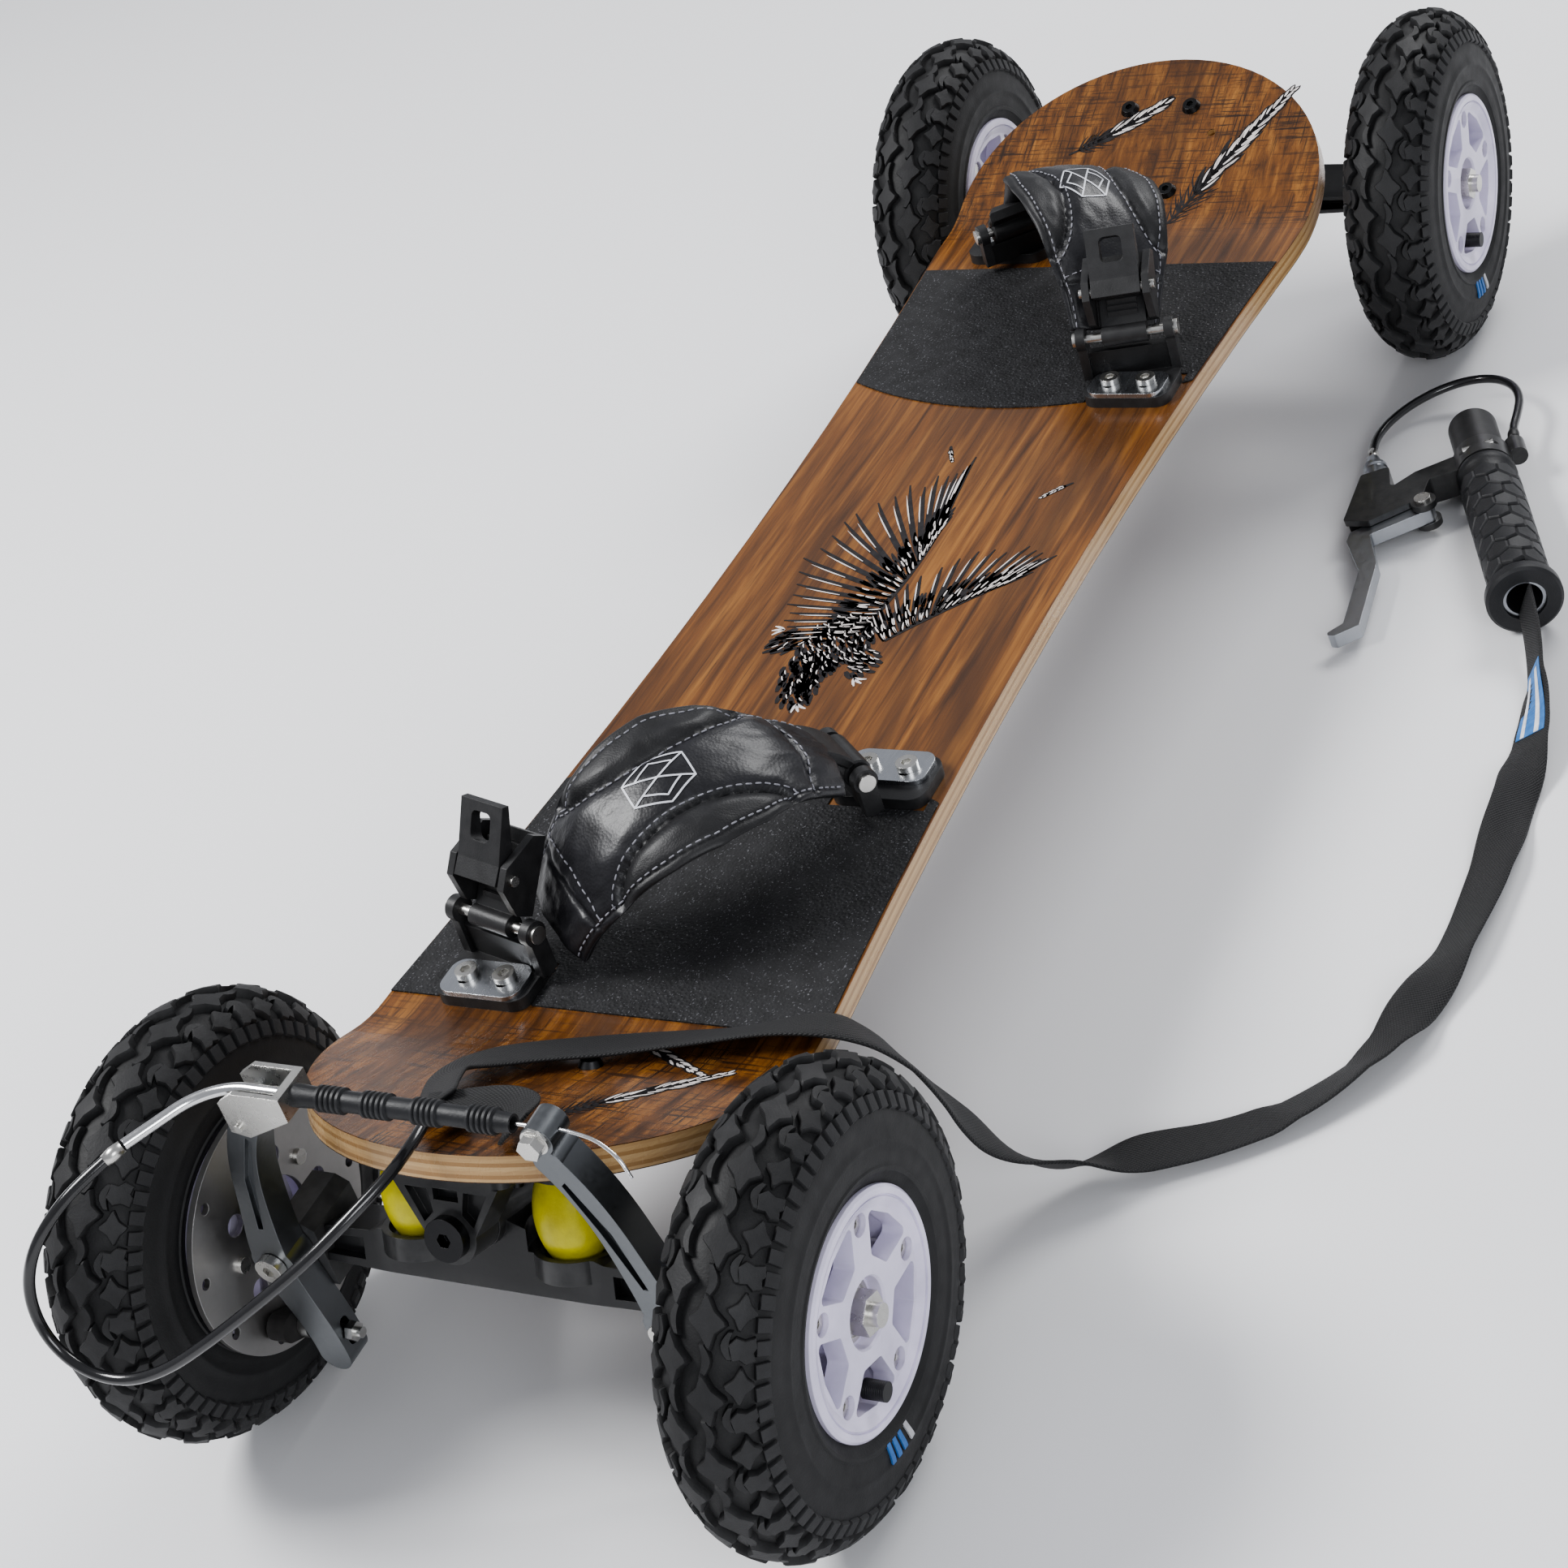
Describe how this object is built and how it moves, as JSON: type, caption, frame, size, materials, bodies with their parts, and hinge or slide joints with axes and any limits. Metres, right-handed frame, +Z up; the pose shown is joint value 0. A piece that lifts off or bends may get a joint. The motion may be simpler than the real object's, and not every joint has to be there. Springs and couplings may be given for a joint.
{
  "type": "mountainboard",
  "caption": "All-terrain board with sprung trucks, pneumatic wheels, ratchet foot straps and a hand-held cable brake on a leash.",
  "frame": {"origin": "centre of the flat face under the deck, midway between the trucks", "axes": "+X towards the front tip, +Y to the rider's left, +Z up, away from the ground"},
  "size_m": [1.0943, 0.4797, 0.2226],
  "materials": {
    "stained_wood": "glossy stained veneer with pale ply edges",
    "grit_tape": "coarse black grit",
    "black_alloy": "satin black paint",
    "yellow_urethane": "cloudy yellow urethane",
    "plated_steel": "zinc plated",
    "black_steel": "black oxide",
    "tyre_rubber": "matt black rubber",
    "tube_rubber": "black butyl with a brass valve",
    "hub_nylon": "pale glass-filled nylon",
    "rotor_steel": "ground steel",
    "black_plastic": "moulded black nylon",
    "plate_alloy": "polished alloy",
    "black_leather": "semi-gloss synthetic leather",
    "silver_alloy": "satin silver",
    "pad_compound": "dark friction block",
    "bright_steel": "bright",
    "grip_rubber": "soft black rubber",
    "cable_sheath": "glossy black sheath",
    "black_webbing": "woven black webbing"
  },
  "bodies": {
    "root": {"deck": "stained_wood", "grip_tapes": "grit_tape", "front_baseplate": "black_alloy", "rear_baseplate": "black_alloy", "front_dampers": "yellow_urethane", "rear_dampers": "yellow_urethane", "pivot_pins": "black_steel", "truck_bolts": "black_steel", "binding_anchors": "black_plastic", "binding_plates": "plate_alloy", "binding_bolts": "plated_steel", "ladder_straps": "black_plastic", "buckles": "black_plastic", "front_strap_pad": "black_leather", "rear_strap_pad": "black_leather", "brake_cable": "cable_sheath", "leash": "black_webbing", "handle_tube": "silver_alloy", "grip": "grip_rubber", "end_cap": "black_plastic", "lever_body": "black_alloy", "lever_pins": "plated_steel", "lever_cable": "cable_sheath"},
    "front_hanger": {"front_hanger": "black_alloy", "front_axle": "plated_steel"},
    "rear_hanger": {"rear_hanger": "black_alloy", "rear_axle": "plated_steel", "brake_mounts": "black_alloy", "brake_pivot_bolts": "plated_steel"},
    "front_left_wheel": {"front_left_tyre": "tyre_rubber", "front_left_inner_tube": "tube_rubber", "front_left_hub": "hub_nylon", "front_left_hub_fittings": "plated_steel"},
    "front_right_wheel": {"front_right_tyre": "tyre_rubber", "front_right_inner_tube": "tube_rubber", "front_right_hub": "hub_nylon", "front_right_hub_fittings": "plated_steel"},
    "rear_left_wheel": {"rear_left_tyre": "tyre_rubber", "rear_left_inner_tube": "tube_rubber", "rear_left_hub": "hub_nylon", "rear_left_hub_fittings": "plated_steel", "rear_left_rotor": "rotor_steel"},
    "rear_right_wheel": {"rear_right_tyre": "tyre_rubber", "rear_right_inner_tube": "tube_rubber", "rear_right_hub": "hub_nylon", "rear_right_hub_fittings": "plated_steel", "rear_right_rotor": "rotor_steel"},
    "left_brake_arm": {"left_brake_arm": "silver_alloy", "left_brake_pad": "pad_compound", "noodle_bracket": "plated_steel", "noodle": "bright_steel", "brake_boot": "grip_rubber"},
    "right_brake_arm": {"right_brake_arm": "silver_alloy", "right_brake_pad": "pad_compound", "wire_clamp_bolt": "plated_steel", "inner_wire": "bright_steel"},
    "brake_lever": {"brake_lever": "silver_alloy"},
    "cable_adjuster": {"cable_adjuster": "silver_alloy"},
    "front_ratchet_lever": {"front_ratchet_lever": "black_plastic"},
    "rear_ratchet_lever": {"rear_ratchet_lever": "black_plastic"}
  },
  "joints": [
    {"name": "front_lean", "type": "hinge", "parent": "root", "child": "front_hanger", "pos_m": [0.41171, 0, -0.00863], "axis": [0.9272, 0, 0.3746], "range_deg": [-7, 7], "stiffness_Nm_per_rad": 60, "deforming": ["front_dampers"]},
    {"name": "rear_lean", "type": "hinge", "parent": "root", "child": "rear_hanger", "pos_m": [-0.41171, 0, -0.00863], "axis": [0.9272, 0, -0.3746], "range_deg": [-7, 7], "stiffness_Nm_per_rad": 60, "deforming": ["rear_dampers", "brake_cable"]},
    {"name": "front_left_wheel_spin", "type": "hinge", "parent": "front_hanger", "child": "front_left_wheel", "pos_m": [0.44, 0.148, -0.0225], "axis": [0, 1, 0], "continuous": true},
    {"name": "front_right_wheel_spin", "type": "hinge", "parent": "front_hanger", "child": "front_right_wheel", "pos_m": [0.44, -0.148, -0.0225], "axis": [0, 1, 0], "continuous": true},
    {"name": "rear_left_wheel_spin", "type": "hinge", "parent": "rear_hanger", "child": "rear_left_wheel", "pos_m": [-0.44, 0.148, -0.0225], "axis": [0, 1, 0], "continuous": true},
    {"name": "rear_right_wheel_spin", "type": "hinge", "parent": "rear_hanger", "child": "rear_right_wheel", "pos_m": [-0.44, -0.148, -0.0225], "axis": [0, 1, 0], "continuous": true},
    {"name": "brake_lever_pull", "type": "hinge", "parent": "root", "child": "brake_lever", "pos_m": [0.23413, -0.19036, -0.10903], "axis": [-0.0226, 0.1118, 0.9935], "range_deg": [0, 28], "stiffness_Nm_per_rad": 0.5},
    {"name": "left_arm_swing", "type": "hinge", "parent": "rear_hanger", "child": "left_brake_arm", "pos_m": [-0.462, 0.097, -0.0155], "axis": [1, 0, 0], "range_deg": [0, 1.8], "deforming": ["brake_boot"]},
    {"name": "right_arm_swing", "type": "hinge", "parent": "rear_hanger", "child": "right_brake_arm", "pos_m": [-0.462, -0.097, -0.0155], "axis": [-1, 0, 0], "range_deg": [0, 1.8], "deforming": ["inner_wire"]},
    {"name": "cable_adjuster_turn", "type": "hinge", "parent": "root", "child": "cable_adjuster", "pos_m": [0.27333, -0.15042, -0.11264], "axis": [0.9158, 0.4009, -0.0243], "continuous": true},
    {"name": "front_ratchet_lift", "type": "hinge", "parent": "root", "child": "front_ratchet_lever", "pos_m": [0.18196, -0.06587, 0.06442], "axis": [0.2504, -0.9681, 0], "range_deg": [0, 60], "stiffness_Nm_per_rad": 0.08},
    {"name": "rear_ratchet_lift", "type": "hinge", "parent": "root", "child": "rear_ratchet_lever", "pos_m": [-0.30204, 0.05487, 0.06442], "axis": [-0.2504, -0.9681, 0], "range_deg": [0, 60], "stiffness_Nm_per_rad": 0.08}
  ],
  "couplings": [
    {"joint": "left_arm_swing", "follows": "brake_lever_pull", "ratio": 0.0642},
    {"joint": "right_arm_swing", "follows": "brake_lever_pull", "ratio": 0.0642}
  ]
}
